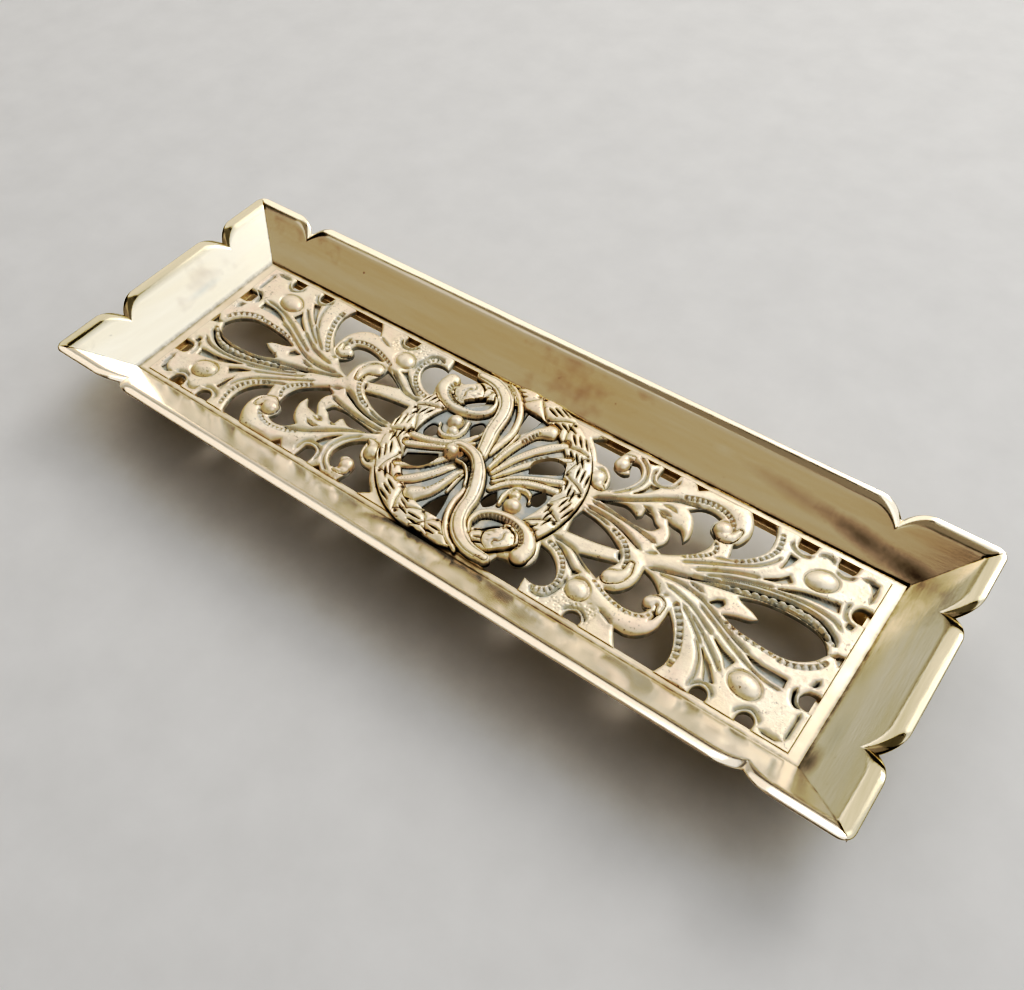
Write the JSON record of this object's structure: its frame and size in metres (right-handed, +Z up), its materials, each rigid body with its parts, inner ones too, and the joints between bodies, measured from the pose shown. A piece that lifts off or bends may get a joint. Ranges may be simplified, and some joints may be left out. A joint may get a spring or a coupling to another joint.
{
  "type": "dresser vanity tray",
  "caption": "Rectangular brass vanity tray with a flared scalloped gallery, a pierced scrollwork floor, a central wreath medallion and low bun feet.",
  "frame": {"origin": "on the table, under the middle of the tray", "axes": "+X along the tray, +Y across it from the near wall to the far wall, +Z up"},
  "size_m": [0.2378, 0.084, 0.0229],
  "materials": {
    "gallery_brass": "polished, lightly tarnished",
    "frame_brass": "polished",
    "panel_brass": "cast, polished high spots and dark crevices",
    "medallion_brass": "cast, polished high spots and dark crevices",
    "foot_brass": "turned, satin",
    "fastener_brass": "dull"
  },
  "bodies": {
    "root": {"gallery_front": "gallery_brass", "gallery_back": "gallery_brass", "gallery_left": "gallery_brass", "gallery_right": "gallery_brass", "base_frame": "frame_brass", "pierced_panel": "panel_brass", "wreath_medallion": "medallion_brass", "medallion_rivets": "fastener_brass", "foot_front_left": "foot_brass", "foot_front_right": "foot_brass", "foot_back_left": "foot_brass", "foot_back_right": "foot_brass", "foot_screws": "fastener_brass"}
  },
  "joints": []
}
